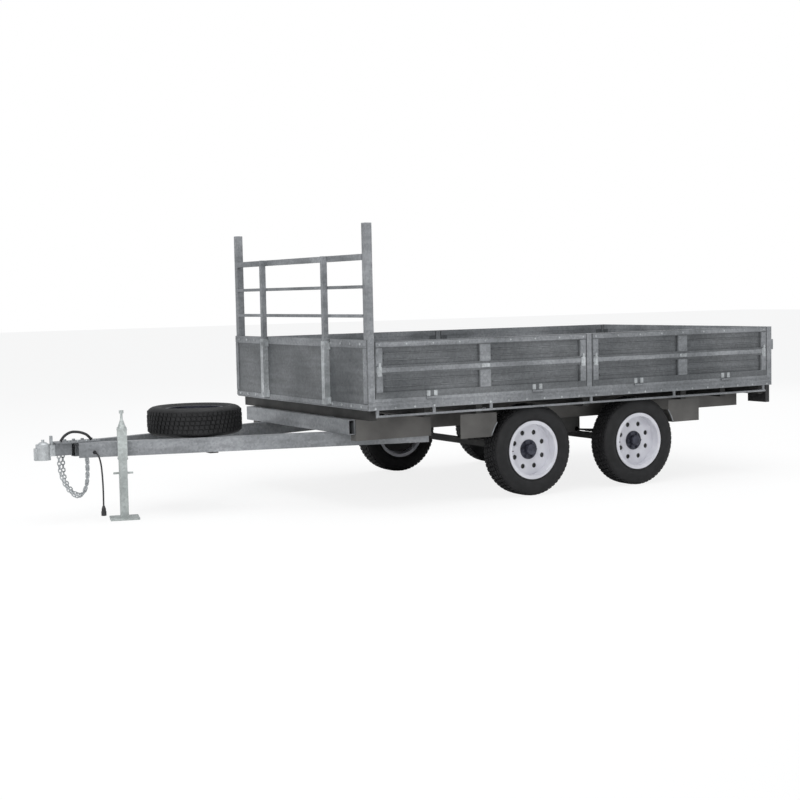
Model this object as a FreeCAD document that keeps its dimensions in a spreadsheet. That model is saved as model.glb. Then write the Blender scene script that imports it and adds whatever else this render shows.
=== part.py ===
import FreeCAD, Part
import math
import os
import re

# Tandem-axle drop-side trailer, in millimetres: +X forwards, +Y to the left, +Z up.
# The origin is on the ground, under the middle of the whole trailer's box.

sizes = {
    "tray_length": 3600, "tray_width": 2100, "coupling_reach": 1930, "latch_reach": 31,
    "drawbar_base": 412, "rail_depth": 100, "rail_width": 50, "rail_wall": 4,
    "bearer_depth": 70, "coaming_depth": 75, "coaming_width": 50, "floor_thickness": 5,
    "side_height": 380, "panel_thickness": 40, "panel_recess": 14, "panel_inner_recess": 20,
    "panel_top_rail": 42, "panel_bottom_rail": 43, "panel_rib": 60, "panel_end_frame": 60,
    "panel_band": 100, "seat_gap": 0.3, "panel_gap": 5, "side_post": 44,
    "hinge_radius": 7, "hinge_drop": 8, "hinge_length": 90,
    "post_width": 50, "post_wall": 3, "post_top": 1919,
    "rack_rail": 40, "rack_rail_height": 1697, "rack_bar": 22,
    "upper_bar_height": 1501, "lower_bar_height": 1309, "inner_post": 35, "inner_post_offset": 495,
    "sleeve_wall": 5, "wall_thickness": 6, "wall_skirt": 67, "wall_cap": 55, "wall_rise": 13,
    "drawbar_run": 2300, "drawbar_tail": 650, "drawbar_front_half": 60, "drawbar_rear_half": 722,
    "chassis_offset": 725, "chassis_tail": 85, "front_overhang": 33, "crossmember_overhang": 100,
    "head_start": 1500, "head_end": 1800, "head_width": 70, "head_plate": 8, "shank_start": 1690,
    "shank_depth": 80, "coupling_radius": 48, "coupling_height": 105, "socket_radius": 25.4,
    "socket_depth": 45, "coupling_tip": 10, "handle_height": 58,
    "jack_along": 2114, "jack_width": 62, "jack_wall": 3.5, "jack_clearance": 0.5,
    "jack_tube_base": 400, "jack_tube_height": 207, "jack_overlap": 40, "jack_bracket": 12,
    "jack_foot": 190, "jack_foot_thickness": 11, "jack_pin_height": 305, "jack_pin_radius": 7,
    "jack_pin_length": 130, "jack_top_height": 114,
    "axle_setback": 1346, "axle_spacing": 952, "axle_beam": 45, "stub_radius": 20,
    "tyre_radius": 327, "tyre_half_width": 98, "tread_half_width": 74, "wheel_inset": 116, "guard_seat": 446,
    "rim_radius": 190, "rim_flange_radius": 208, "rim_half_width": 82, "rim_wall": 6,
    "disc_depth": 66, "disc_thickness": 8, "rim_hole_radius": 18, "rim_hole_circle": 128,
    "hub_radius": 55, "hub_length": 70, "cap_radius": 34, "cap_length": 40,
    "spare_setback": 800, "carrier_bar": 60, "carrier_thickness": 8, "clamp_radius": 70,
    "spring_width": 60, "spring_depth": 30, "spring_length": 780, "spring_pad": 23,
    "side_box_length": 593, "side_box_depth": 147, "side_box_width": 74.7,
    "rope_rail_radius": 8, "rope_rail_inset": 10, "rope_rail_height": 640,
    "guard_radius": 365, "guard_sheet": 3, "guard_width": 130, "guard_low": 445,
    "tail_light_width": 220, "tail_light_depth": 136, "chain_radius": 9,
    "cable_diameter": 11, "plug_radius": 17, "plug_length": 66, "hose_radius": 9,
}

doc = FreeCAD.newDocument("Trailer")
dim = doc.addObject("Spreadsheet::Sheet", "dim")
for row, (alias, value) in enumerate(sizes.items(), 1):
    dim.set("A%d" % row, alias)
    dim.set("B%d" % row, str(value))
    dim.setAlias("B%d" % row, alias)
doc.recompute()

# Levels and stations that several pieces share, as formulas of the sheet's cells.
formulas = {
    "TRAY_FRONT": "((tray_length + latch_reach - coupling_reach) / 2)",
    "CHASSIS_BASE": "(drawbar_base + rail_depth)",
    "CHASSIS_TOP": "(CHASSIS_BASE + rail_depth)",
    "COAMING_BASE": "(CHASSIS_TOP + bearer_depth)",
    "FLOOR_TOP": "(COAMING_BASE + coaming_depth)",
    "SIDE_TOP": "(FLOOR_TOP + side_height)",
    "PANEL_BASE": "(FLOOR_TOP + seat_gap)",
    "PANEL_HEIGHT": "(side_height - seat_gap)",
    "DRAWBAR_ANGLE": "atan((drawbar_rear_half - drawbar_front_half) / drawbar_run)",
    "DRAWBAR_LENGTH": "sqrt(drawbar_run ^ 2 + (drawbar_rear_half - drawbar_front_half) ^ 2)",
    "FRONT_AXLE": "(TRAY_FRONT - axle_setback)",
    "REAR_AXLE": "(FRONT_AXLE - axle_spacing)",
    "WALL_FACE": "(TRAY_FRONT + wall_thickness)",
    "WHEEL_OFFSET": "(tray_width / 2 - wheel_inset)",
    "ROPE_RAIL_OFFSET": "(tray_width / 2 - rope_rail_inset)",
    "CROSSMEMBER_HALF": "(chassis_offset + crossmember_overhang)",
    "FORE_BEARER": "(FRONT_AXLE + guard_seat)",
    "AFT_BEARER": "(REAR_AXLE - guard_seat)",
    "TAIL_BEARER": "(TRAY_FRONT - tray_length + 70)",
}


def formula(text):
    """Spell out the shared formulas and point each size at its cell."""
    text = str(text)
    while any(word in text for word in formulas):
        for word, meaning in formulas.items():
            text = text.replace(word, meaning)
    return re.sub(r"[a-z]+(_[a-z]+)+", r"dim.\g<0>", text)


def number(text):
    """The value of a formula, for the shapes that are made in code."""
    value = dim.evalExpression(formula(text))
    return float(getattr(value, "Value", value))


def bind(thing, **texts):
    for key, text in texts.items():
        thing.setExpression(key.replace("__", "."), formula(text))


def place(thing, x, y, z):
    bind(thing, Placement__Base__x=x, Placement__Base__y=y, Placement__Base__z=z)
    return thing


def box(name, corner, size):
    thing = doc.addObject("Part::Box", name)
    bind(thing, Length=size[0], Width=size[1], Height=size[2])
    return place(thing, *corner)


turns = {"x": (0, 1, 0, 90), "y": (1, 0, 0, -90), "z": (0, 0, 1, 0)}


def cylinder(name, start, radius, length, axis="z"):
    thing = doc.addObject("Part::Cylinder", name)
    x, y, z, angle = turns[axis]
    thing.Placement = FreeCAD.Placement(FreeCAD.Vector(), FreeCAD.Rotation(FreeCAD.Vector(x, y, z), angle))
    bind(thing, Radius=radius, Height=length)
    return place(thing, *start)


def fuse(name, *pieces):
    thing = doc.addObject("Part::MultiFuse", name)
    thing.Shapes = list(pieces)
    return thing


def cut(name, base, *tools):
    thing = doc.addObject("Part::Cut", name)
    thing.Base = base
    thing.Tool = tools[0] if len(tools) == 1 else fuse(name + "_tools", *tools)
    return thing


def group(name, *pieces):
    thing = doc.addObject("Part::Compound", name)
    thing.Links = list(pieces)
    return thing


def mirrored(name, source):
    thing = doc.addObject("Part::Mirroring", name)
    thing.Source = source
    thing.Normal = FreeCAD.Vector(0, 1, 0)
    return thing


def hollow(name, corner, size, wall, axis):
    """A rectangular tube along one axis, open at both ends."""
    inner_corner = [place if axis == way else "%s + %s" % (place, wall) for way, place in zip("xyz", corner)]
    inner_size = [span if axis == way else "%s - 2 * %s" % (span, wall) for way, span in zip("xyz", size)]
    return cut(name, box(name + "_outer", corner, size), box(name + "_inner", inner_corner, inner_size))


def turned(name, outline, station, axis):
    """A ring turned from an outline of (radius, along) formulas."""
    along = {"y": FreeCAD.Vector(0, 1, 0), "z": FreeCAD.Vector(0, 0, 1)}[axis]
    points = [FreeCAD.Vector(number(r), 0, 0) + along * number(a) for r, a in outline]
    wire = Part.makePolygon(points + points[:1])
    shape = Part.Face(wire).revolve(FreeCAD.Vector(), along, 360)
    thing = doc.addObject("Part::Feature", name)
    thing.Shape = shape
    return place(thing, *station)


def tube_along(name, points, radius):
    """A round tube on straight runs joined by tangent arcs; prints each arc's radius."""
    route = [FreeCAD.Vector(*point) for point in points]
    edges = []
    last = route[0]
    for before, corner, after in zip(route, route[1:], route[2:]):
        back = (before - corner).normalize()
        ahead = (after - corner).normalize()
        shorter = min((before - corner).Length, (after - corner).Length)
        half_turn = (math.pi - back.getAngle(ahead)) / 2
        reach = 0.45 * shorter
        bend = reach / math.tan(half_turn)
        entry = corner + back * reach
        leave = corner + ahead * reach
        middle = corner + (back + ahead).normalize() * (bend / math.cos(half_turn) - bend)
        edges += [Part.LineSegment(last, entry).toShape(), Part.Arc(entry, middle, leave).toShape()]
        last = leave
        print(name, "bend radius", round(bend, 1))
    edges.append(Part.LineSegment(last, route[-1]).toShape())
    path = Part.Wire(edges)
    ring = Part.Wire(Part.makeCircle(radius, route[0], route[1] - route[0]))
    thing = doc.addObject("Part::Feature", name)
    thing.Shape = path.makePipeShell([ring], True, False)
    print(name, "length", round(path.Length, 1), "volume ratio",
          round(thing.Shape.Volume / (math.pi * radius ** 2 * path.Length), 4))
    return thing


nodes = {}


def node(name, thing):
    thing.Label = name
    nodes[name] = thing
    return thing


def half_and_mirror(name, piece):
    return node(name, group(name + "_pair", piece, mirrored(name + "_right", piece)))


def front(offset):
    """A station measured forwards from the tray's front face."""
    return "TRAY_FRONT + %s" % offset


# --- drawbar, coupling and jack ---------------------------------------------------------

def on_rail(thing):
    """Put a piece drawn along the left drawbar rail into its slanting place."""
    bind(thing, Placement__Rotation__Yaw="-DRAWBAR_ANGLE")
    return place(thing, front("-drawbar_tail"), "drawbar_rear_half", "drawbar_base")


def drawbar():
    rail = hollow("rail", ("0", "-rail_width / 2", "0"), ("DRAWBAR_LENGTH", "rail_width", "rail_depth"),
                  "rail_wall", "x")
    half_and_mirror("drawbar_rails", on_rail(rail))
    plate = box("head_plate_box", (front("head_start"), "-head_width", "CHASSIS_BASE"),
                ("head_end - head_start", "2 * head_width", "head_plate"))
    shank = box("shank", (front("shank_start"), "-head_width / 2", "CHASSIS_BASE - shank_depth"),
                ("head_end - shank_start", "head_width", "shank_depth"))
    node("drawbar_head", fuse("head", plate, shank))


def coupling():
    ball_x = front("coupling_reach - coupling_tip - coupling_radius")
    base = "CHASSIS_BASE - shank_depth - 25"
    neck = box("neck", (front("head_end"), "-head_width / 2 + 3", "CHASSIS_BASE - shank_depth"),
               ("coupling_reach - coupling_tip - coupling_radius - head_end", "head_width - 6", "shank_depth - 6"))
    head = cylinder("ball_housing", (ball_x, "0", base), "coupling_radius", "coupling_height")
    lip = box("lip", (front("coupling_reach - coupling_tip - 15"), "-20", base), ("coupling_tip + 15", "40", "80"))
    socket = cylinder("socket", (ball_x, "0", base), "socket_radius", "socket_depth")
    node("coupling_body", cut("coupling", fuse("coupling_solid", neck, head, lip), socket))
    node("coupling_handle", box("handle", (front("head_end + 10"), "-15", "CHASSIS_BASE - 6"),
                                ("14", "30", "handle_height")))


def jack():
    side = "rail_width / 2 + jack_bracket"
    middle = side + " + jack_width / 2"
    start = "jack_along - jack_width / 2"
    tube_base = "jack_tube_base - drawbar_base"
    tube = hollow("jack_square", (start, side, tube_base), ("jack_width", "jack_width", "jack_tube_height"),
                  "jack_wall", "z")
    bracket = box("bracket", (start, "rail_width / 2", "10"), ("jack_width", "jack_bracket", "rail_depth - 20"))
    node("jack_tube", on_rail(fuse("jack_body", tube, bracket)))
    leg_width = "(jack_width - 2 * jack_wall - 2 * jack_clearance)"
    leg = box("leg", ("jack_along - %s / 2" % leg_width, "%s - %s / 2" % (middle, leg_width), "-drawbar_base + 1"),
              (leg_width, leg_width, "jack_tube_base + jack_overlap - 1"))
    foot = box("foot", ("jack_along - jack_foot / 2", "%s - jack_foot / 2" % middle, "-drawbar_base"),
               ("jack_foot", "jack_foot", "jack_foot_thickness"))
    pin = cylinder("pin", ("jack_along - jack_pin_length / 2", middle, "jack_pin_height - drawbar_base"),
                   "jack_pin_radius", "jack_pin_length", "x")
    node("jack_leg", on_rail(fuse("jack_foot_leg", leg, foot, pin)))
    top = "jack_tube_base + jack_tube_height - drawbar_base"
    cap = doc.addObject("Part::Cone", "cap")
    bind(cap, Radius1="jack_width / 2 - 3", Radius2="8", Height="jack_top_height / 2")
    place(cap, "jack_along", middle, top)
    neck = cylinder("crank_neck", ("jack_along", middle, top), "8", "jack_top_height")
    knob = cylinder("knob", ("jack_along", middle, top + " + jack_top_height - 20"), "15", "20")
    node("jack_crank", on_rail(fuse("jack_top", cap, neck, knob)))


# --- wheels, spare and running gear -----------------------------------------------------

tyre_outline = [
    ("rim_radius + seat_gap", "-rim_half_width + 12"), ("rim_radius + seat_gap", "rim_half_width - 12"),
    ("rim_flange_radius + seat_gap", "rim_half_width - 6"), ("rim_flange_radius + 20", "tyre_half_width - 8"),
    ("rim_flange_radius + 50", "tyre_half_width"), ("tyre_radius - 40", "tyre_half_width - 3"),
    ("tyre_radius - 14", "tread_half_width + 10"), ("tyre_radius - 3", "tread_half_width"),
    ("tyre_radius", "tread_half_width - 25"), ("tyre_radius", "-tread_half_width + 25"),
    ("tyre_radius - 3", "-tread_half_width"), ("tyre_radius - 14", "-tread_half_width - 10"),
    ("tyre_radius - 40", "-tyre_half_width + 3"), ("rim_flange_radius + 50", "-tyre_half_width"),
    ("rim_flange_radius + 20", "-tyre_half_width + 8"), ("rim_flange_radius + seat_gap", "-rim_half_width + 6"),
]
disc_face = "(rim_half_width - disc_depth)"
rim_outline = [
    ("rim_radius", "-rim_half_width + 5"), ("rim_flange_radius", "-rim_half_width + 5"),
    ("rim_flange_radius", "-rim_half_width"), ("rim_radius - rim_wall", "-rim_half_width"),
    ("rim_radius - rim_wall", disc_face + " - disc_thickness"), ("0", disc_face + " - disc_thickness"),
    ("0", disc_face), ("rim_radius - rim_wall", disc_face),
    ("rim_radius - rim_wall", "rim_half_width"), ("rim_flange_radius", "rim_half_width"),
    ("rim_flange_radius", "rim_half_width - 5"), ("rim_radius", "rim_half_width - 5"),
]


def drilled_rim(name, station, axis, extras):
    """A rim with eight round holes in its disc; a road wheel's rim also carries its hub and cap."""
    rim = turned(name + "_barrel", rim_outline, ("0", "0", "0"), axis)
    holes = []
    for index in range(8):
        angle = math.radians(22.5 + 45 * index)
        across = "rim_hole_circle * %.6f" % math.cos(angle)
        upward = "rim_hole_circle * %.6f" % math.sin(angle)
        start = "%s - disc_thickness - 2" % disc_face
        spot = (across, start, upward) if axis == "y" else (across, upward, start)
        holes.append(cylinder("%s_hole%d" % (name, index), spot, "rim_hole_radius", "disc_thickness + 4", axis))
    rim = cut(name + "_drilled", rim, *holes)
    if extras:
        hub = cylinder(name + "_hub", ("0", "%s - disc_thickness - hub_length" % disc_face, "0"), "hub_radius",
                       "hub_length", "y")
        bore = cylinder(name + "_bore", ("0", "%s - disc_thickness - hub_length" % disc_face, "0"),
                        "stub_radius + seat_gap", "hub_length - 4", "y")
        cap = cylinder(name + "_cap", ("0", disc_face, "0"), "cap_radius", "cap_length", "y")
        rim = cut(name + "_hubbed", fuse(name + "_whole", rim, hub, cap), bore)
    return place(rim, *station)


def wheels():
    for place_name, station in (("front", "FRONT_AXLE"), ("rear", "REAR_AXLE")):
        tyre = turned("tyre_solid_" + place_name, tyre_outline, (station, "WHEEL_OFFSET", "tyre_radius"), "y")
        rim = drilled_rim("rim_" + place_name, (station, "WHEEL_OFFSET", "tyre_radius"), "y", True)
        node("tyre_%s_left" % place_name, tyre)
        node("rim_%s_left" % place_name, rim)
        node("tyre_%s_right" % place_name, mirrored("tyre_right_" + place_name, tyre))
        node("rim_%s_right" % place_name, mirrored("rim_right_" + place_name, rim))


def spare_wheel():
    station = front("spare_setback")
    height = "CHASSIS_BASE + seat_gap + tyre_half_width"
    node("spare_tyre", turned("spare_tyre_solid", tyre_outline, (station, "0", height), "z"))
    node("spare_rim", drilled_rim("spare", (station, "0", height), "z", False))
    reach = "(drawbar_front_half + (coupling_reach - 280 - spare_setback) * 0.288 + rail_width / 2)"
    bar = box("carrier_cross", ("%s - carrier_bar / 2" % station, "-" + reach, "drawbar_base - carrier_thickness"),
              ("carrier_bar", "2 * " + reach, "carrier_thickness"))
    under = "%s + %s - disc_thickness" % (height, disc_face)
    seat = cylinder("carrier_seat", (station, "0", "drawbar_base - carrier_thickness"), "hub_radius",
                    "%s - (drawbar_base - carrier_thickness) - seat_gap" % under)
    node("spare_carrier", fuse("carrier", bar, seat))


def axles():
    for name, station in (("axle_front", "FRONT_AXLE"), ("axle_rear", "REAR_AXLE")):
        inner = "(WHEEL_OFFSET + %s - disc_thickness - hub_length - 6)" % disc_face
        beam = box(name + "_beam", ("%s - axle_beam / 2" % station, "-" + inner, "tyre_radius - axle_beam / 2"),
                   ("axle_beam", "2 * " + inner, "axle_beam"))
        stub = "(%s + hub_length - 2)" % inner
        spindle = cylinder(name + "_stub", (station, "-" + stub, "tyre_radius"), "stub_radius", "2 * " + stub, "y")
        node(name, fuse(name + "_solid", beam, spindle))


def suspension():
    seat = "tyre_radius + axle_beam / 2"
    base = seat + " + spring_pad"
    y = "chassis_offset - spring_width / 2"
    springs = []
    for index, station in enumerate(("FRONT_AXLE", "REAR_AXLE")):
        leaf = box("leaf%d" % index, (station + " - spring_length / 2", y, base),
                   ("spring_length", "spring_width", "spring_depth"))
        pad = box("spring_pad%d" % index, (station + " - 50", y, seat), ("100", "spring_width", "spring_pad"))
        springs.append(fuse("spring%d" % index, leaf, pad))
    springs = group("springs_left", *springs)
    node("leaf_springs", group("springs", springs, mirrored("springs_right", springs)))
    hangers = []
    top = "%s + spring_depth" % base
    stations = ("FRONT_AXLE + spring_length / 2 - 60", "(FRONT_AXLE + REAR_AXLE) / 2 - 130",
                "REAR_AXLE - spring_length / 2")
    for index, (station, length) in enumerate(zip(stations, ("60", "260", "60"))):
        hangers.append(box("hanger%d" % index, (station, y, top), (length, "spring_width", "CHASSIS_BASE - (%s)" % top)))
    hangers = group("hangers_left", *hangers)
    node("spring_hangers", group("hangers", hangers, mirrored("hangers_right", hangers)))


def mudguards():
    pieces = []
    for name, station, sign in (("fore", "FRONT_AXLE", 1), ("aft", "REAR_AXLE", -1)):
        corner = station + (" + 300" if sign > 0 else " - 300 - 300")
        blank = box(name + "_guard_blank", (corner, "WHEEL_OFFSET - guard_width / 2", "guard_low"),
                    ("300", "guard_width", "CHASSIS_TOP - guard_low"))
        space = cylinder(name + "_tyre_space", (station, "WHEEL_OFFSET - guard_width", "tyre_radius"), "guard_radius",
                         "2 * guard_width", "y")
        inside = cylinder(name + "_guard_inside", (station, "WHEEL_OFFSET - guard_width / 2 - 1", "tyre_radius"),
                          "guard_radius + guard_sheet", "guard_width + 1 - guard_sheet", "y")
        hollow_part = cut(name + "_guard_void",
                          box(name + "_void_blank", (corner + " - 1", "WHEEL_OFFSET - guard_width / 2 - 1", "guard_low - 1"),
                              ("302", "guard_width + 1 - guard_sheet", "CHASSIS_TOP - guard_low + 2")), inside)
        pieces.append(cut(name + "_guard", blank, space, hollow_part))
    left = group("guards_left", *pieces)
    node("mudguards", group("guards", left, mirrored("guards_right", left)))


# --- chassis and tray -------------------------------------------------------------------

def chassis():
    back = "(rail_width - front_overhang)"
    node("front_crossmember", hollow("front_beam", (front("-" + back), "-CROSSMEMBER_HALF", "CHASSIS_BASE"),
                                     ("rail_width", "2 * CROSSMEMBER_HALF", "rail_depth"), "rail_wall", "y"))
    rail = hollow("chassis_tube", (front("-tray_length + chassis_tail"), "chassis_offset - rail_width / 2", "CHASSIS_BASE"),
                  ("tray_length - chassis_tail - %s" % back, "rail_width", "rail_depth"), "rail_wall", "x")
    half_and_mirror("chassis_rails", rail)
    span = "(chassis_offset - rail_width / 2)"
    stations = ("FORE_BEARER", "(FRONT_AXLE + REAR_AXLE) / 2", "AFT_BEARER",
                front("-tray_length + chassis_tail + rail_width / 2"))
    beams = [box("cross_beam%d" % index, ("%s - rail_width / 2" % station, "-" + span, "CHASSIS_BASE + 20"),
                 ("rail_width", "2 * " + span, "rail_depth - 20")) for index, station in enumerate(stations)]
    node("chassis_crossmembers", group("cross_beams", *beams))
    side = box("side_box", (front("-%s - panel_gap - side_box_length" % back), "chassis_offset + rail_width / 2 + seat_gap",
                            "CHASSIS_TOP - side_box_depth"), ("side_box_length", "side_box_width", "side_box_depth"))
    half_and_mirror("side_boxes", side)


def tray():
    first = front("-60")
    stations = [first, "(%s + FORE_BEARER) / 2" % first, "FORE_BEARER", "(FRONT_AXLE + REAR_AXLE) / 2",
                "AFT_BEARER", "(AFT_BEARER + TAIL_BEARER) / 2", "TAIL_BEARER"]
    bearers = [box("bearer%d" % index, ("%s - 25" % station, "-tray_width / 2 + coaming_width", "CHASSIS_TOP"),
                   ("50", "tray_width - 2 * coaming_width", "bearer_depth")) for index, station in enumerate(stations)]
    node("tray_bearers", group("bearers", *bearers))
    outer = box("coaming_outer", (front("-tray_length"), "-tray_width / 2", "COAMING_BASE"),
                ("tray_length", "tray_width", "coaming_depth"))
    inner = box("coaming_inner", (front("-tray_length + coaming_width"), "-tray_width / 2 + coaming_width", "COAMING_BASE"),
                ("tray_length - 2 * coaming_width", "tray_width - 2 * coaming_width", "coaming_depth"))
    stringers = [box("stringer%d" % index, (front("-tray_length + coaming_width"), "%d * tray_width / 4 - 20" % index,
                                            "COAMING_BASE"),
                     ("tray_length - 2 * coaming_width", "40", "coaming_depth - floor_thickness"))
                 for index in (-1, 0, 1)]
    node("tray_frame", fuse("tray_frame_solid", cut("coaming", outer, inner), *stringers))
    node("tray_floor", box("floor_sheet", (front("-tray_length + coaming_width"), "-tray_width / 2 + coaming_width",
                                           "FLOOR_TOP - floor_thickness"),
                           ("tray_length - 2 * coaming_width", "tray_width - 2 * coaming_width", "floor_thickness")))


def front_rack():
    sheet = box("wall_sheet", ("TRAY_FRONT", "-tray_width / 2", "FLOOR_TOP - wall_skirt"),
                ("wall_thickness", "tray_width", "side_height + wall_skirt + wall_rise"))
    cap = box("wall_cap_box", (front("-20"), "-tray_width / 2 + post_width", "SIDE_TOP + wall_rise - wall_cap"),
              ("20", "tray_width - 2 * post_width", "wall_cap"))
    node("front_wall", fuse("wall_solid", sheet, cap))
    post = hollow("rack_post", (front("-post_width"), "tray_width / 2 - post_width", "FLOOR_TOP"),
                  ("post_width", "post_width", "post_top - FLOOR_TOP"), "post_wall", "z")
    half_and_mirror("rack_posts", post)
    span = "(tray_width / 2 - post_width)"
    rails = [box("rack_top", ("WALL_FACE - rack_rail", "-" + span, "rack_rail_height - rack_rail / 2"),
                 ("rack_rail", "2 * " + span, "rack_rail"))]
    for index, height in enumerate(("upper_bar_height", "lower_bar_height")):
        rails.append(box("rack_bar%d" % index, ("WALL_FACE - rack_bar", "-" + span, height + " - rack_bar / 2"),
                         ("rack_bar", "2 * " + span, "rack_bar")))
    node("rack_rails", group("rack_rail_set", *rails))
    base = "FLOOR_TOP - wall_skirt + 10"
    inner = box("inner_post_box", ("WALL_FACE", "inner_post_offset - inner_post / 2", base),
                ("inner_post", "inner_post", "rack_rail_height + rack_rail / 2 - (%s)" % base))
    half_and_mirror("rack_inner_posts", inner)
    half = "(inner_post / 2 + jack_clearance)"
    outer = box("sleeve_outer", ("WALL_FACE", "inner_post_offset - %s - sleeve_wall" % half, base),
                ("inner_post + jack_clearance + sleeve_wall", "2 * %s + 2 * sleeve_wall" % half,
                 "SIDE_TOP - (%s)" % base))
    space = box("sleeve_space", ("WALL_FACE", "inner_post_offset - " + half, base),
                ("inner_post + jack_clearance", "2 * " + half, "SIDE_TOP - (%s)" % base))
    half_and_mirror("rack_sleeves", cut("sleeve", outer, space))


def panel(name, corner, length, along):
    """A framed drop side: a thick panel recessed on both faces between rails, rib and bands."""
    x, y = corner
    def span(x_from, y_from, z_from, long, deep, high, label):
        if along == "x":
            return box(name + label, (x + x_from, y + y_from, "PANEL_BASE + " + z_from), (long, deep, high))
        return box(name + label, (x + y_from, y + x_from, "PANEL_BASE + " + z_from), (deep, long, high))
    whole = span(" + 0", " + 0", "0", length, "panel_thickness", "PANEL_HEIGHT", "_whole")
    if along == "x":
        shallow = " + panel_thickness - panel_recess"
        inner_start = " + 0"
    else:
        shallow = " + 0"
        inner_start = " + panel_thickness - panel_inner_recess"
    bay = "((%s - 2 * panel_end_frame - panel_band) / 2)" % length
    clear_height = "((PANEL_HEIGHT - panel_top_rail - panel_bottom_rail - panel_rib) / 2)"
    pockets = []
    for column, start in enumerate((" + panel_end_frame", " + panel_end_frame + %s + panel_band" % bay)):
        for level, low in enumerate(("panel_bottom_rail", "panel_bottom_rail + %s + panel_rib" % clear_height)):
            pockets.append(span(start, shallow, low, bay, "panel_recess", clear_height, "_bay%d%d" % (column, level)))
    pockets.append(span(" + panel_end_frame", inner_start, "panel_bottom_rail", "%s - 2 * panel_end_frame" % length,
                        "panel_inner_recess", "PANEL_HEIGHT - panel_bottom_rail - panel_top_rail", "_inside"))
    return cut(name + "_panel", whole, *pockets)


def sides():
    y = "tray_width / 2 - panel_thickness"
    middle = "(FRONT_AXLE + REAR_AXLE) / 2"
    lengths = {"front": "(TRAY_FRONT - post_width - panel_gap - (%s + side_post / 2 + panel_gap))" % middle,
               "rear": "(%s - side_post / 2 - panel_gap - (TRAY_FRONT - tray_length + post_width + panel_gap))" % middle}
    starts = {"front": "%s + side_post / 2 + panel_gap" % middle,
              "rear": front("-tray_length + post_width + panel_gap")}
    for name in lengths:
        left = panel(name + "_side", (starts[name], y), lengths[name], "x")
        node("side_panel_%s_left" % name, left)
        node("side_panel_%s_right" % name, mirrored(name + "_side_right", left))
    node("tailgate", panel("gate", (front("-tray_length"), "-tray_width / 2 + post_width + panel_gap"),
                           "(tray_width - 2 * post_width - 2 * panel_gap)", "y"))
    posts = [box("middle_post", ("%s - side_post / 2" % middle, y, "FLOOR_TOP"),
                 ("side_post", "panel_thickness", "side_height")),
             box("rear_post", (front("-tray_length"), "tray_width / 2 - post_width", "FLOOR_TOP"),
                 ("post_width", "post_width", "side_height"))]
    posts = group("posts_left", *posts)
    node("side_posts", group("posts", posts, mirrored("posts_right", posts)))
    offset = "tray_width / 2 + hinge_radius + seat_gap"
    hinges = []
    for panel_name in lengths:
        for index in (1, 3):
            start = "%s + %s * %d / 4 - hinge_length / 2" % (starts[panel_name], lengths[panel_name], index)
            hinges.append(cylinder("hinge_%s%d" % (panel_name, index), (start, offset, "FLOOR_TOP - hinge_drop"),
                                   "hinge_radius", "hinge_length", "x"))
    hinges = group("hinges_left", *hinges)
    gate = [cylinder("gate_hinge%d" % index, (front("-tray_length - hinge_radius - seat_gap"),
                                              "%d * tray_width / 4 - hinge_length / 2" % index,
                                              "FLOOR_TOP - hinge_drop"),
                     "hinge_radius", "hinge_length", "y") for index in (-1, 1)]
    node("panel_hinges", group("hinges", hinges, mirrored("hinges_right", hinges), *gate))


def tray_fittings():
    length = "(tray_length - 120)"
    bar = cylinder("rope_bar", (front("-tray_length + 60"), "ROPE_RAIL_OFFSET", "rope_rail_height"), "rope_rail_radius",
                   length, "x")
    brackets = [box("rope_bracket%d" % index, (front("-%s - 10" % distance), "ROPE_RAIL_OFFSET - 6", "rope_rail_height"),
                    ("20", "12", "COAMING_BASE - rope_rail_height"))
                for index, distance in enumerate(("70", "510", "973", "1840", "2617", "(tray_length - 80)"))]
    half_and_mirror("rope_rails", fuse("rope_rail", bar, *brackets))
    light = box("light_box", (front("-tray_length"), "tray_width / 2 - tail_light_width", "COAMING_BASE - tail_light_depth"),
                ("40", "tail_light_width - 25", "tail_light_depth"))
    half_and_mirror("tail_lights", light)
    latch = box("latch", (front("-tray_length - latch_reach"), "tray_width / 2 - 36", "FLOOR_TOP + 200"),
                ("latch_reach", "22", "80"))
    half_and_mirror("tailgate_latches", latch)


# --- chains, hose and cable -------------------------------------------------------------

# Points as distances forwards of the tray's front face, to the left, and above the ground.
left_chain = [(1775, 22, 431), (1777, 23, 360), (1765, 42, 270), (1715, 52, 180), (1655, 60, 145),
              (1612, 66, 200), (1598, 71, 300), (1600, 74, 411.7)]
right_chain = [(1735, -22, 431), (1737, -23, 350), (1720, -45, 250), (1660, -60, 165), (1600, -70, 140),
               (1560, -78, 200), (1548, -83, 300), (1550, -88, 411.7)]
hose_route = [(1760, 20, 525), (1735, 22, 560), (1690, 24, 585), (1630, 24, 580), (1580, 22, 560), (1550, 20, 525)]
cable_route = [(1560, 113.5, 446), (1558, 171, 441), (1553, 212, 384), (1550, 223, 292), (1549, 227, 194), (1550, 225, 102)]


def flexible_parts():
    shift = number("TRAY_FRONT")
    placed = lambda route: [(x + shift, y, z) for x, y, z in route]
    chains = [tube_along("chain%d" % index, placed(route), number("chain_radius"))
              for index, route in enumerate((left_chain, right_chain))]
    node("safety_chains", group("chains", *chains))
    node("brake_hose", tube_along("hose", placed(hose_route), number("hose_radius")))
    node("trailer_cable", tube_along("cable", placed(cable_route), number("cable_diameter / 2")))
    end = cable_route[-1]
    plug = cylinder("plug_body", (end[0] + shift, end[1], "%s - plug_length" % end[2]), "plug_radius", "plug_length")
    node("trailer_plug", plug)


for build in (drawbar, coupling, jack, wheels, spare_wheel, axles, suspension, mudguards, chassis, tray,
              front_rack, sides, tray_fittings, flexible_parts):
    build()
doc.recompute()

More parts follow.
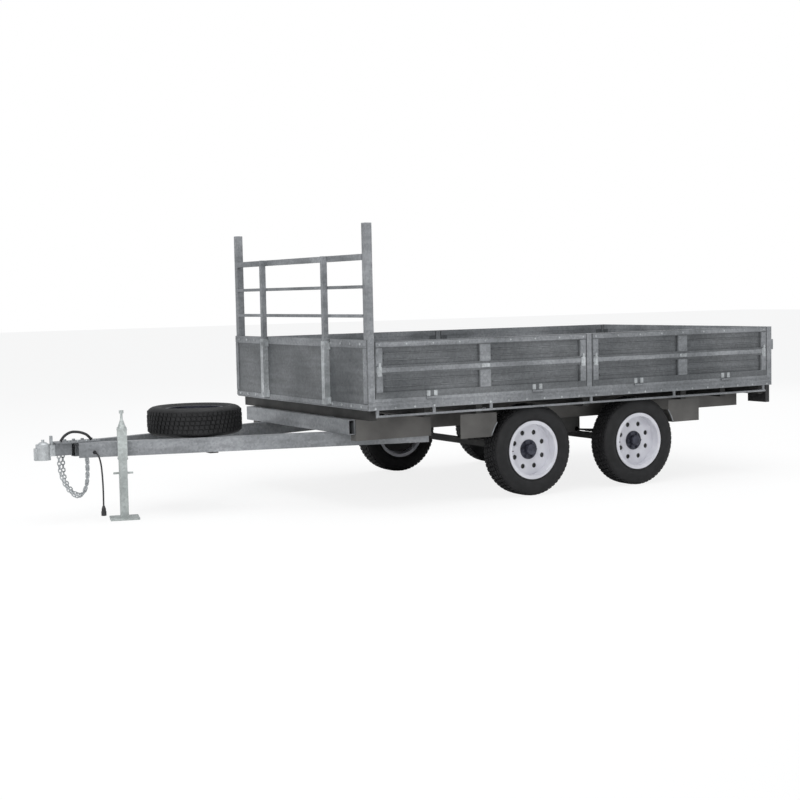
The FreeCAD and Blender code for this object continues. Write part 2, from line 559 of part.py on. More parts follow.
for thing in doc.Objects:
    if "Invalid" in thing.State or "Error" in thing.State:
        raise RuntimeError("%s failed: %s" % (thing.Label, thing.State))
os.makedirs("parts", exist_ok=True)
for name, thing in nodes.items():
    if thing.Shape.isNull() or not thing.Shape.isValid() or not thing.Shape.Solids:
        raise RuntimeError("%s has no valid solid" % name)
for name, thing in nodes.items():
    thing.Shape.exportStep("parts/%s.step" % name)
print(len(nodes), "nodes written")
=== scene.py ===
import math

import bmesh
import bpy
from mathutils import Matrix, Vector


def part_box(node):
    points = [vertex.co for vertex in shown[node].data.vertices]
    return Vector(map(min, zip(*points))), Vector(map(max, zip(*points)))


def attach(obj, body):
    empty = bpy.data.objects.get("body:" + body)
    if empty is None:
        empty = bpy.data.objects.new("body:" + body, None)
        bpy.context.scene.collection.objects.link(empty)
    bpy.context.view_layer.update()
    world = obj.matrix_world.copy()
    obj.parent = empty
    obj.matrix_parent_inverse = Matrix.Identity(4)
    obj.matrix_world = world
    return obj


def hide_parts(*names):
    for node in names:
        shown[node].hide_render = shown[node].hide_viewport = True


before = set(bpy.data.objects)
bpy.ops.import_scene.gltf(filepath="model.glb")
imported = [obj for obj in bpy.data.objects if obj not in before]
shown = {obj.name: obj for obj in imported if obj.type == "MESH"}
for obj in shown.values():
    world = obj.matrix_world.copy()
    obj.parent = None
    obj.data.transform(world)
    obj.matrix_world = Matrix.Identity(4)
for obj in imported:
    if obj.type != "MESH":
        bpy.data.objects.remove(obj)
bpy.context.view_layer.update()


def startMaterial(name, colour, roughness, metallic=0.0):
    made = bpy.data.materials.new(name)
    made.use_nodes = True
    shader = made.node_tree.nodes["Principled BSDF"]
    shader.inputs["Base Color"].default_value = (*colour, 1)
    shader.inputs["Roughness"].default_value = roughness
    shader.inputs["Metallic"].default_value = metallic
    return made, made.node_tree.nodes, made.node_tree.links, shader


def mottle(nodes, links, scale, stretch=(1, 1, 1), detail=4):
    # a noise pattern that is fixed to the piece
    where = nodes.new("ShaderNodeTexCoord")
    mapping = nodes.new("ShaderNodeMapping")
    mapping.inputs["Scale"].default_value = stretch
    noise = nodes.new("ShaderNodeTexNoise")
    noise.inputs["Scale"].default_value = scale
    noise.inputs["Detail"].default_value = detail
    links.new(where.outputs["Object"], mapping.inputs["Vector"])
    links.new(mapping.outputs["Vector"], noise.inputs["Vector"])
    return noise, mapping


def ramp(nodes, links, source, low, high, start=0.35, stop=0.65):
    scale = nodes.new("ShaderNodeValToRGB")
    scale.color_ramp.elements[0].position = start
    scale.color_ramp.elements[1].position = stop
    scale.color_ramp.elements[0].color = (*low, 1)
    scale.color_ramp.elements[1].color = (*high, 1)
    links.new(source, scale.inputs["Fac"])
    return scale.outputs["Color"]


def blendColours(nodes, links, first, second, amount, mode="MIX"):
    mixer = nodes.new("ShaderNodeMix")
    mixer.data_type = "RGBA"
    mixer.blend_type = mode
    mixer.inputs["Factor"].default_value = amount
    links.new(first, mixer.inputs["A"])
    links.new(second, mixer.inputs["B"])
    return mixer.outputs["Result"]


def addBump(nodes, links, shader, height, strength, distance):
    bump = nodes.new("ShaderNodeBump")
    bump.inputs["Strength"].default_value = strength
    bump.inputs["Distance"].default_value = distance
    links.new(height, bump.inputs["Height"])
    links.new(bump.outputs["Normal"], shader.inputs["Normal"])


def zincFinish(name, dark, light, roughness, streak):
    # hot-dip zinc: broad clouds, small spangle cells and run streaks
    made, nodes, links, shader = startMaterial(name, light, roughness, 0.45)
    cloud, _ = mottle(nodes, links, 2.2, detail=6)
    broad = ramp(nodes, links, cloud.outputs["Fac"], dark, light)
    _, mapping = mottle(nodes, links, 1.0)
    cells = nodes.new("ShaderNodeTexVoronoi")
    cells.inputs["Scale"].default_value = 70
    links.new(mapping.outputs["Vector"], cells.inputs["Vector"])
    tone = ramp(nodes, links, cells.outputs["Color"], (0.72,) * 3, (1.25,) * 3, 0.1, 0.9)
    colour = blendColours(nodes, links, broad, tone, 0.55, "MULTIPLY")
    runs, _ = mottle(nodes, links, 9, streak, 3)
    stripe = ramp(nodes, links, runs.outputs["Fac"], (0.7,) * 3, (1.15,) * 3)
    colour = blendColours(nodes, links, colour, stripe, 0.5, "MULTIPLY")
    links.new(colour, shader.inputs["Base Color"])
    rough = nodes.new("ShaderNodeMapRange")
    rough.inputs["To Min"].default_value = roughness - 0.1
    rough.inputs["To Max"].default_value = roughness + 0.14
    links.new(cloud.outputs["Fac"], rough.inputs["Value"])
    links.new(rough.outputs["Result"], shader.inputs["Roughness"])
    addBump(nodes, links, shader, runs.outputs["Fac"], 0.12, 0.002)
    return made


def plainFinish(name, dark, light, roughness, scale, metallic=0.0, bump=0.1):
    made, nodes, links, shader = startMaterial(name, light, roughness, metallic)
    noise, _ = mottle(nodes, links, scale, detail=6)
    links.new(ramp(nodes, links, noise.outputs["Fac"], dark, light), shader.inputs["Base Color"])
    fine, _ = mottle(nodes, links, scale * 12)
    addBump(nodes, links, shader, fine.outputs["Fac"], bump, 0.001)
    return made


zincFrame = zincFinish("zincFrame", (0.20, 0.21, 0.22), (0.33, 0.34, 0.355), 0.46, (0.3, 0.3, 2.5))
# zinc for the sheet panels, made darker than the frame zinc as painted shade and a painted dark reflection of
# the recessed fields
zincPanel = zincFinish("zincPanel", (0.105, 0.112, 0.118), (0.19, 0.198, 0.205), 0.42, (0.25, 0.25, 3.0))
zincBright = zincFinish("zincBright", (0.38, 0.40, 0.41), (0.56, 0.58, 0.59), 0.40, (1, 1, 1))
jackPaint = zincFinish("jackPaint", (0.33, 0.36, 0.35), (0.46, 0.49, 0.48), 0.45, (1, 1, 0.4))
darkSteel = plainFinish("darkSteel", (0.022, 0.022, 0.021), (0.05, 0.049, 0.047), 0.55, 7, 0.3)
# zinc darkened to a brownish grey as painted shade, for the parts under the tray
boxSteel = plainFinish("boxSteel", (0.085, 0.082, 0.078), (0.14, 0.135, 0.128), 0.5, 4, 0.4)
tyreRubber = plainFinish("tyreRubber", (0.0035, 0.0035, 0.004), (0.0085, 0.0085, 0.0095), 0.72, 18, 0.0, 0.25)
rimEnamel = plainFinish("rimEnamel", (0.60, 0.60, 0.645), (0.70, 0.70, 0.745), 0.33, 9, 0.0, 0.03)
hubIron = plainFinish("hubIron", (0.02, 0.021, 0.032), (0.06, 0.062, 0.085), 0.4, 25, 0.4)
cableRubber = plainFinish("cableRubber", (0.010, 0.010, 0.011), (0.024, 0.024, 0.026), 0.5, 40)
plugPlastic = plainFinish("plugPlastic", (0.012, 0.012, 0.013), (0.03, 0.03, 0.032), 0.42, 60)
redLens = plainFinish("redLens", (0.30, 0.008, 0.008), (0.42, 0.015, 0.012), 0.18, 30)
amberLens = plainFinish("amberLens", (0.55, 0.14, 0.01), (0.70, 0.20, 0.02), 0.18, 30)


def finishMesh(name, mesh, material, body, smooth=None):
    piece = bpy.data.objects.new(name, mesh)
    bpy.context.scene.collection.objects.link(piece)
    mesh.materials.clear()
    mesh.materials.append(material)
    if smooth is not None:
        mesh.shade_smooth()
        mesh.set_sharp_from_angle(angle=math.radians(smooth))
    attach(piece, body)
    return piece


def closeMesh(name, shape):
    bmesh.ops.remove_doubles(shape, verts=shape.verts, dist=1e-6)
    bmesh.ops.recalc_face_normals(shape, faces=shape.faces)
    mesh = bpy.data.meshes.new(name)
    shape.to_mesh(mesh)
    shape.free()
    return mesh


def addBox(shape, low, high, bevel=0.0):
    size = Vector(high) - Vector(low)
    middle = (Vector(high) + Vector(low)) / 2
    place = Matrix.Translation(middle) @ Matrix.Diagonal((*size, 1))
    verts = bmesh.ops.create_cube(shape, size=1, matrix=place)["verts"]
    if bevel:
        edges = list({edge for vert in verts for edge in vert.link_edges})
        bmesh.ops.bevel(shape, geom=edges, offset=bevel, segments=2, affect="EDGES")


def boxes(name, corners, bevel, material, body):
    shape = bmesh.new()
    for low, high in corners:
        addBox(shape, low, high, bevel)
    return finishMesh(name, closeMesh(name, shape), material, body, 40)


def addRod(shape, start, end, radius, sides=12, tip=None):
    start, end = Vector(start), Vector(end)
    way = end - start
    place = Matrix.Translation((start + end) / 2) @ way.to_track_quat("Z", "Y").to_matrix().to_4x4()
    bmesh.ops.create_cone(shape, cap_ends=True, segments=sides, radius1=radius,
                          radius2=radius if tip is None else tip, depth=way.length, matrix=place)


def rods(name, spans, radius, material, body, sides=12):
    shape = bmesh.new()
    for start, end in spans:
        addRod(shape, start, end, radius, sides)
    return finishMesh(name, closeMesh(name, shape), material, body, 40)


def turnedRing(name, outline, centre, axis, material, body, segments=96):
    # outline is a closed loop of (radius, along the axis)
    shape = bmesh.new()
    rings = []
    for step in range(segments):
        angle = 2 * math.pi * step / segments
        ring = []
        for radius, along in outline:
            across, up = radius * math.cos(angle), radius * math.sin(angle)
            spot = (across, along, up) if axis == "y" else (across, up, along)
            ring.append(shape.verts.new(Vector(centre) + Vector(spot)))
        rings.append(ring)
    for step in range(segments):
        here, after = rings[step], rings[(step + 1) % segments]
        for index in range(len(outline)):
            follow = (index + 1) % len(outline)
            shape.faces.new((here[index], after[index], after[follow], here[follow]))
    return finishMesh(name, closeMesh(name, shape), material, body, 35)


def addSocket(tree, name, kind, way="INPUT"):
    return tree.interface.new_socket(name, in_out=way, socket_type=kind)


def makeRepeatTree():
    # puts one item at even steps along each curve, turned to follow it
    tree = bpy.data.node_groups.new("repeatAlong", "GeometryNodeTree")
    kinds = {"Path": "Geometry", "Item": "Object", "Count": "Int", "Roll": "Float", "Finish": "Material"}
    for name, kind in kinds.items():
        addSocket(tree, name, "NodeSocket" + kind)
    addSocket(tree, "Result", "NodeSocketGeometry", "OUTPUT")
    nodes, links = tree.nodes, tree.links
    given = nodes.new("NodeGroupInput")
    steps = nodes.new("GeometryNodeResampleCurve")
    steps.mode = "COUNT"
    item = nodes.new("GeometryNodeObjectInfo")
    tangent = nodes.new("GeometryNodeInputTangent")
    align = nodes.new("FunctionNodeAlignRotationToVector")
    align.axis = "X"
    index = nodes.new("GeometryNodeInputIndex")
    roll = nodes.new("ShaderNodeMath")
    roll.operation = "MULTIPLY"
    euler = nodes.new("ShaderNodeCombineXYZ")
    turn = nodes.new("FunctionNodeEulerToRotation")
    spin = nodes.new("FunctionNodeRotateRotation")
    spin.rotation_space = "LOCAL"
    copies = nodes.new("GeometryNodeInstanceOnPoints")
    solid = nodes.new("GeometryNodeRealizeInstances")
    finish = nodes.new("GeometryNodeSetMaterial")
    out = nodes.new("NodeGroupOutput")
    links.new(given.outputs["Path"], steps.inputs["Curve"])
    links.new(given.outputs["Count"], steps.inputs["Count"])
    links.new(given.outputs["Item"], item.inputs["Object"])
    links.new(tangent.outputs["Tangent"], align.inputs["Vector"])
    links.new(index.outputs["Index"], roll.inputs[0])
    links.new(given.outputs["Roll"], roll.inputs[1])
    links.new(roll.outputs["Value"], euler.inputs["X"])
    links.new(euler.outputs["Vector"], turn.inputs["Euler"])
    links.new(align.outputs["Rotation"], spin.inputs["Rotation"])
    links.new(turn.outputs["Rotation"], spin.inputs["Rotate By"])
    links.new(steps.outputs["Curve"], copies.inputs["Points"])
    links.new(item.outputs["Geometry"], copies.inputs["Instance"])
    links.new(spin.outputs["Rotation"], copies.inputs["Rotation"])
    links.new(copies.outputs["Instances"], solid.inputs["Geometry"])
    links.new(solid.outputs["Geometry"], finish.inputs["Geometry"])
    links.new(given.outputs["Finish"], finish.inputs["Material"])
    links.new(finish.outputs["Geometry"], out.inputs["Result"])
    return tree


repeatTree = makeRepeatTree()
print("materials and the repeating tree are ready")


def repeat(name, paths, itemShape, count, material, body, roll=0.0, closed=False):
    curve = bpy.data.curves.new(name + "Path", "CURVE")
    curve.dimensions = "3D"
    for path in paths:
        spline = curve.splines.new("POLY")
        spline.points.add(len(path) - 1)
        for point, spot in zip(spline.points, path):
            point.co = (*spot, 1)
        spline.use_cyclic_u = closed
    holder = bpy.data.objects.new(name + "Holder", curve)
    item = bpy.data.objects.new(name + "Item", closeMesh(name + "Item", itemShape))
    for thing in (holder, item):
        bpy.context.scene.collection.objects.link(thing)
    modifier = holder.modifiers.new("repeat", "NODES")
    modifier.node_group = repeatTree
    values = {"Item": item, "Count": count, "Roll": roll, "Finish": material}
    for socket in repeatTree.interface.items_tree:
        if socket.name in values:
            modifier[socket.identifier] = values[socket.name]
    holder.update_tag()
    graph = bpy.context.evaluated_depsgraph_get()
    mesh = bpy.data.meshes.new_from_object(holder.evaluated_get(graph))
    for thing in (holder, item):
        bpy.data.objects.remove(thing)
    return finishMesh(name, mesh, material, body, 35)


def circle(centre, radius, axis="y", steps=48, phase=0.0):
    spots = []
    for step in range(steps):
        angle = phase + 2 * math.pi * step / steps
        across, up = radius * math.cos(angle), radius * math.sin(angle)
        spots.append(Vector(centre) + Vector((across, 0, up) if axis == "y" else (across, up, 0)))
    return spots


def hexHead(radius, thickness, stud=0.0):
    # a hexagon nut on the item's Y axis with a round stud through it
    shape = bmesh.new()
    addRod(shape, (0, -thickness / 2, 0), (0, thickness / 2, 0), radius, 6)
    if stud:
        addRod(shape, (0, -thickness / 2, 0), (0, thickness / 2 + stud, 0), radius * 0.55, 10)
        addRod(shape, (0, -thickness / 2 - stud, 0), (0, thickness / 2, 0), radius * 0.55, 10)
    return shape


def paint(material, *names):
    for name in names:
        mesh = shown[name].data
        mesh.materials.clear()
        mesh.materials.append(material)


wheelSizes = {"radius": 0.327, "halfWidth": 0.098, "seat": 0.1903, "flange": 0.2083, "tread": 0.074,
              "blockDepth": 0.009, "blocks": 58, "ribs": 5, "nutCircle": 0.0545, "nutRadius": 0.011,
              "cap": 0.0365, "drum": 0.158}


def tyreOutline():
    size = wheelSizes
    under = size["radius"] - size["blockDepth"]
    flange = size["flange"]
    bead = [(size["seat"], 0.068), (flange, 0.076), (flange + 0.009, 0.083), (flange + 0.014, 0.0815)]
    wall = [(flange + 0.030, 0.0925), (flange + 0.050, 0.0975), (flange + 0.066, size["halfWidth"]),
            (flange + 0.070, 0.0965), (flange + 0.082, 0.0945)]
    shoulder = [(under - 0.014, 0.0875), (under - 0.004, 0.079), (under, 0.068)]
    side = bead + wall + shoulder
    return side + [(radius, -along) for radius, along in reversed(side)]


def tread(name, centre, axis, body):
    # staggered blocks in ribs round the tyre, with wide shoulder blocks outside them
    size = wheelSizes
    spacing = 2 * size["tread"] / size["ribs"]
    pitch = 2 * math.pi * size["radius"] / size["blocks"]
    for rib in range(size["ribs"]):
        offset = (rib - (size["ribs"] - 1) / 2) * spacing
        shape = bmesh.new()
        long, wide, deep = pitch * 0.37, spacing * 0.42, size["blockDepth"] / 2
        if axis == "y":
            addBox(shape, (-long, -wide, -deep), (long, wide, deep), 0.0016)
        else:
            addBox(shape, (-long, -deep, -wide), (long, deep, wide), 0.0016)
        sink = 0.003 if rib in (0, size["ribs"] - 1) else 0.0005
        away = Vector((0, offset, 0)) if axis == "y" else Vector((0, 0, offset))
        ring = circle(Vector(centre) + away, size["radius"] - size["blockDepth"] / 2 - sink, axis,
                      size["blocks"], rib * 0.027)
        repeat("%sTread%d" % (name, rib), [ring], shape, size["blocks"], tyreRubber, body, closed=True)


def roadWheel(end, side):
    size = wheelSizes
    sign = 1 if side == "left" else -1
    body = "wheel_%s_%s" % (end, side)
    node = "tyre_%s_%s" % (end, side)
    low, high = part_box(node)
    centre = (Vector(low) + Vector(high)) / 2
    tyre = turnedRing("%sCarcass" % body, tyreOutline(), centre, "y", tyreRubber, body)
    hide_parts(node)
    tread(body, centre, "y", body)
    face = centre.y + sign * 0.016

    def off(distance):
        # a spot on the axle, measured outwards from the disc
        return (centre.x, face + sign * distance, centre.z)

    nuts = circle(off(0.008), size["nutCircle"], "y", 6)
    repeat(body + "Nuts", [nuts], hexHead(size["nutRadius"], 0.018, 0.004), 6, hubIron, body, closed=True)
    shape = bmesh.new()
    addRod(shape, off(0), off(0.005), 0.070, 40)
    addRod(shape, off(0), off(0.040), size["cap"], 32)
    addRod(shape, off(0.038), off(0.050), size["cap"], 32, 0.022)
    finishMesh(body + "Cap", closeMesh(body + "Cap", shape), hubIron, body, 40)
    shape = bmesh.new()
    addRod(shape, off(-0.012), off(-0.062), size["drum"], 48)
    addRod(shape, off(-0.060), off(-0.072), size["drum"] + 0.010, 48)
    finishMesh(body + "Drum", closeMesh(body + "Drum", shape), darkSteel, body, 40)
    paint(rimEnamel, "rim_%s_%s" % (end, side))
    stem = (centre.x + 0.168, face + sign * 0.012, centre.z)
    tip = (stem[0] - 0.006, stem[1] + sign * 0.034, stem[2])
    rods(body + "Valve", [(stem, tip)], 0.004, cableRubber, body)


def spareWheel():
    low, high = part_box("spare_tyre")
    centre = (Vector(low) + Vector(high)) / 2
    tyre = turnedRing("spareCarcass", tyreOutline(), centre, "z", tyreRubber, "trailer")
    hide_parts("spare_tyre")
    tread("spare", centre, "z", "trailer")
    paint(hubIron, "spare_rim")
    shape = bmesh.new()
    top = centre.z + 0.016
    addRod(shape, (centre.x, 0, top), (centre.x, 0, top + 0.008), 0.062, 36)
    addRod(shape, (centre.x, 0, top), (centre.x, 0, top + 0.042), 0.009, 12)
    addRod(shape, (centre.x, 0, top + 0.008), (centre.x, 0, top + 0.024), 0.017, 6)
    finishMesh("spareClamp", closeMesh("spareClamp", shape), zincBright, "trailer", 40)


for end in ("front", "rear"):
    for side in ("left", "right"):
        roadWheel(end, side)
spareWheel()
print("wheels are on")


springSizes = {"leaves": 5, "thickness": 0.0065, "width": 0.060, "rise": 0.024, "eye": 0.017,
               "reach": 0.375, "step": 0.062, "seat": 0.022, "track": 0.725}


def addLeaf(shape, axleX, y, base, half, cuts=14):
    # one arched leaf, as a row of short blocks
    size = springSizes
    corners = ((0, 1, 3, 2), (4, 6, 7, 5), (0, 4, 5, 1), (2, 3, 7, 6), (1, 5, 7, 3), (0, 2, 6, 4))
    for step in range(cuts):
        first = -half + 2 * half * step / cuts
        second = first + 2 * half / cuts
        verts = []
        for x in (first, second):
            rise = size["rise"] * (x / 0.39) ** 2
            for w in (-1, 1):
                for lift in (0, size["thickness"] - 0.0006):
                    place = (axleX + x, y + w * size["width"] / 2, base + rise + lift)
                    verts.append(shape.verts.new(place))
        for face in corners:
            shape.faces.new([verts[index] for index in face])


def leafSprings():
    size = springSizes
    shape = bmesh.new()
    bolts = []
    for end in ("axle_front", "axle_rear"):
        low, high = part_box(end)
        axleX, axleTop = (low[0] + high[0]) / 2, high[2]
        for side in (1, -1):
            y = side * size["track"]

            def spot(along, across, up):
                return (axleX + along, y + across, axleTop + up)

            for leaf in range(size["leaves"]):
                half = size["reach"] - size["step"] * leaf
                base = axleTop + size["seat"] + size["thickness"] * (size["leaves"] - 1 - leaf)
                addLeaf(shape, axleX, y, base, half)
            eyeZ = axleTop + size["seat"] + size["thickness"] * 4 + size["rise"] * 0.92 + 0.004
            for x in (axleX - size["reach"], axleX + size["reach"]):
                addRod(shape, (x, y - 0.03, eyeZ), (x, y + 0.03, eyeZ), size["eye"], 20)
            addBox(shape, spot(-0.05, -0.034, 0), spot(0.05, 0.034, size["seat"]), 0.003)
            addBox(shape, spot(-0.06, -0.045, 0.055), spot(0.06, 0.045, 0.064), 0.002)
            for x in (-0.042, 0.042):
                for edge in (-0.037, 0.037):
                    bolts.append((spot(x, edge, -0.058), spot(x, edge, 0.076)))
    springs = finishMesh("leafSprings", closeMesh("leafSprings", shape), darkSteel, "trailer", 35)
    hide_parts("leaf_springs")
    rods("springBolts", bolts, 0.006, darkSteel, "trailer")


leafSprings()
paint(darkSteel, "axle_front", "axle_rear", "spring_hangers", "spare_carrier", "tray_bearers")
# the lockers, mudguards and chassis take the darkened zinc, which is painted shade
paint(boxSteel, "side_boxes", "mudguards", "chassis_rails", "chassis_crossmembers")
paint(zincFrame, "front_crossmember", "drawbar_rails", "drawbar_head", "tray_frame", "rack_posts",
      "rack_rails", "rack_inner_posts", "side_posts", "rope_rails", "panel_hinges", "tailgate_latches")
paint(zincBright, "rack_sleeves", "coupling_body", "coupling_handle")
sidePanels = [name for name in shown if name.startswith("side_panel")]
# the sheet parts take the darker zinc, a painted shade and painted dark reflection
paint(zincPanel, "front_wall", "tailgate", "tray_floor", *sidePanels)
paint(jackPaint, "jack_tube", "jack_leg", "jack_crank")
paint(plugPlastic, "tail_lights")
paint(cableRubber, "brake_hose")
print("running gear and finishes are done")


panelSizes = {"recess": 0.014, "endFrame": 0.060, "band": 0.100, "bottomRail": 0.043, "rib": 0.060,
              "topRail": 0.042, "swage": 0.006}


def inOrder(corners):
    # each pair of corners as its low and its high one
    return [tuple(zip(*[sorted(pair) for pair in zip(a, b)])) for a, b in corners]


def panelDetail(node, along):
    # swaged lines in each recess, raised frames and ribs, straps, bright latch blocks at the rib ends that
    # are partly a painted highlight, a rib plate, an inner liner and rivets
    size = panelSizes
    low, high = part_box(node)
    run = 0 if along == "x" else 1
    out = 1 - run
    outward = 1 if (low[out] + high[out]) > 0 else -1
    if along == "y":
        outward = -1
    face = high[out] if outward > 0 else low[out]

    def spot(distance, depth, height):
        point = [0, 0, height]
        point[run] = distance
        point[out] = face + outward * depth
        return tuple(point)

    start, end = low[run], high[run]
    bay = (end - start - 2 * size["endFrame"] - size["band"]) / 2
    clear = (high[2] - low[2] - size["topRail"] - size["bottomRail"] - size["rib"]) / 2
    bays = (start + size["endFrame"], start + size["endFrame"] + bay + size["band"])
    lows = (low[2] + size["bottomRail"], low[2] + size["bottomRail"] + clear + size["rib"])
    swages = []
    for left in bays:
        for base in lows:
            for share in (0.30, 0.68):
                height = base + clear * share
                swages.append((spot(left + 0.012, -size["recess"], height),
                               spot(left + bay - 0.012, -size["recess"], height)))
    rods(node + "_swages", swages, size["swage"], zincPanel, node, 10)
    frames = []
    uprights = ((start, start + size["endFrame"]), (bays[0] + bay, bays[1]), (end - size["endFrame"], end))
    for a, b in ((left + 0.006, right - 0.006) for left, right in uprights):
        for base in lows:
            frames.append((spot(a, -0.002, base), spot(b, 0.0035, base + clear)))
    ribHeight = low[2] + size["bottomRail"] + clear
    ribs = [(spot(start + 0.004, -0.001, ribHeight + 0.014), spot(end - 0.004, 0.0045, ribHeight + 0.046)),
            (spot(start + 0.004, -0.002, high[2] - 0.036), spot(end - 0.004, 0.005, high[2] - 0.004))]
    boxes(node + "_frame", inOrder(frames + ribs), 0.0022, zincFrame, node)
    strapsAndGlints = []
    for share in (0.25, 0.75):
        middle = start + (end - start) * share
        for shift in (-0.028, 0.028):
            strapsAndGlints.append((spot(middle + shift - 0.014, -0.003, low[2] + 0.002),
                           spot(middle + shift + 0.014, 0.005, low[2] + 0.040)))
    # bright latch blocks on the end frames at rib height, in bright zinc, that also stand in for a painted
    # highlight at the rib ends
    for middle in (start + 0.030, end - 0.030) if along == "x" else ():
        strapsAndGlints.append((spot(middle - 0.018, -0.002, low[2] + 0.150),
                       spot(middle + 0.018, 0.008, low[2] + 0.215)))
        strapsAndGlints.append((spot(middle - 0.009, 0.002, low[2] + 0.165),
                       spot(middle + 0.009, 0.013, low[2] + 0.240)))
    boxes(node + "_fasteners", inOrder(strapsAndGlints), 0.002, zincBright, node)
    middle = (start + end) / 2
    plate = [(spot(middle - 0.034, 0.0, ribHeight + 0.018),
              spot(middle + 0.034, 0.009, ribHeight + 0.042)),
             (spot(middle - 0.012, 0.006, ribHeight + 0.022),
              spot(middle + 0.012, 0.0125, ribHeight + 0.038))]
    boxes(node + "_ribPlate", inOrder(plate), 0.002, zincBright, node)
    thick = high[out] - low[out]
    liner = [(spot(start + 0.058, -thick + 0.0005, low[2] + 0.041),
              spot(end - 0.058, -thick + 0.004, high[2] - 0.040)),
             (spot(start + 0.002, -thick - 0.0012, high[2] - 0.041),
              spot(end - 0.002, -thick + 0.003, high[2] - 0.001))]
    boxes(node + "_liner", inOrder(liner), 0.0008, zincFrame, node)
    line = [spot(start + 0.03, 0.004, high[2] - 0.020), spot(end - 0.03, 0.004, high[2] - 0.020)]
    shape = bmesh.new()
    addRod(shape, (0, -0.003, 0), (0, 0.003, 0), 0.006, 12)
    repeat(node + "_rivets", [line], shape, 9, zincBright, node)


for node in sidePanels:
    panelDetail(node, "x")
panelDetail("tailgate", "y")
print("drop sides are detailed")


def trayDetail():
    low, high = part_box("tray_frame")
    lines = []
    for side in (1, -1):
        y, height = side * (high[1] - 0.0005), low[2] + 0.012
        lines.append([(low[0] + 0.05, y, height), (high[0] - 0.05, y, height)])
    repeat("coamingBolts", lines, hexHead(0.008, 0.008), 24, zincBright, "trailer")
    folds = []
    for side in (1, -1):
        for base in (low[2] + 0.022, high[2] - 0.028):
            y = side * high[1]
            inner, outer = sorted((y, y + side * 0.004))
            folds.append(((low[0] + 0.004, inner, base), (high[0] - 0.004, outer, base + 0.005)))
    boxes("coamingFolds", folds, 0.001, zincFrame, "trailer")
    floorLow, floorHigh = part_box("tray_floor")
    shape = bmesh.new()
    addBox(shape, (-0.008, -(floorHigh[1] - 0.02), -0.001), (0.008, floorHigh[1] - 0.02, 0.0022), 0.0008)
    line = [(floorLow[0] + 0.1, 0, floorHigh[2]), (floorHigh[0] - 0.1, 0, floorHigh[2])]
    repeat("floorRibs", [line], shape, 18, zincFrame, "trailer")


rackSizes = {"inner": 0.495, "outer": 1.025, "post": 0.0235, "top": 1.9185, "cap": 0.004, "gap": 0.045}


def rackDetail():
    size = rackSizes
    wallLow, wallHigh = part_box("front_wall")
    face = wallHigh[0]
    back, left, right = face - 0.001, wallLow[1] + 0.002, wallHigh[1] - 0.002
    inner, gap = size["inner"] + 0.002, size["gap"]
    folds = []
    # the level folds stop short of the inner posts
    for front, base, top in ((face + 0.006, wallHigh[2] - 0.052, wallHigh[2] - 0.001),
                             (face + 0.004, wallLow[2] + 0.002, wallLow[2] + 0.034)):
        for a, b in ((left, -inner - gap), (-inner + gap, inner - gap), (inner + gap, right)):
            folds.append(((back, a, base), (front, b, top)))
    for side in (1, -1):
        edge = side * (wallHigh[1] - 0.026)
        folds.append(((back, edge - 0.024, wallLow[2] + 0.04),
                      (face + 0.005, edge + 0.024, wallHigh[2] - 0.055)))
    boxes("wallFolds", folds, 0.0015, zincFrame, "trailer")
    lines = []
    for height in (wallHigh[2] - 0.026, wallLow[2] + 0.018):
        lines.append([(face + 0.006, wallLow[1] + 0.08, height), (face + 0.006, -0.56, height)])
        lines.append([(face + 0.006, 0.56, height), (face + 0.006, wallHigh[1] - 0.08, height)])
    repeat("wallBolts", lines, hexHead(0.009, 0.007), 4, zincBright, "trailer")
    caps = []
    for side in (1, -1):
        y = side * size["outer"]
        caps.append(((wallLow[0] - 0.028, y - size["post"], size["top"] - size["cap"]),
                     (wallLow[0] + 0.018, y + size["post"], size["top"])))
    boxes("postCaps", caps, 0.001, zincFrame, "trailer")
    brackets = []
    sleeveLow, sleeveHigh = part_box("rack_sleeves")
    for side in (1, -1):
        y = side * size["inner"]
        for height in (sleeveLow[2] + 0.004, sleeveHigh[2] - 0.06):
            brackets.append(((face, y - 0.042, height), (face + 0.008, y + 0.042, height + 0.05)))
            brackets.append(((sleeveHigh[0] - 0.001, y - 0.012, height + 0.012),
                             (sleeveHigh[0] + 0.007, y + 0.012, height + 0.036)))
    boxes("sleeveBrackets", brackets, 0.0025, zincBright, "trailer")


guardSizes = {"radius": 0.366, "side": 0.9985, "bead": 0.0045}


def guardEdges():
    # rolled edges of the quarter guards, round the tyres
    size = guardSizes
    spans = []
    for end, sign in (("front", 1), ("rear", -1)):
        low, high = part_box("tyre_%s_left" % end)
        x, z = (low[0] + high[0]) / 2, (low[2] + high[2]) / 2
        for side in (1, -1):
            arc = []
            for angle in range(20, 37, 2):
                turn = math.radians(angle)
                arc.append((x + sign * size["radius"] * math.cos(turn), side * size["side"],
                            z + size["radius"] * math.sin(turn)))
            spans += list(zip(arc, arc[1:]))
    rods("guardEdges", spans, size["bead"], zincFrame, "trailer", 8)


def tailLamps():
    # the lenses stand out 2 mm only, so that the tailgate clears them when it drops
    low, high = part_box("tail_lights")
    for lens, start, end in ((redLens, 0.926, 0.982), (amberLens, 0.862, 0.918)):
        corners = []
        for side in (1, -1):
            a, b = sorted((side * start, side * end))
            corners.append(((low[0] - 0.002, a, low[2] + 0.022), (low[0] + 0.004, b, high[2] - 0.022)))
        boxes(lens.name + "es", corners, 0.004, lens, "trailer")


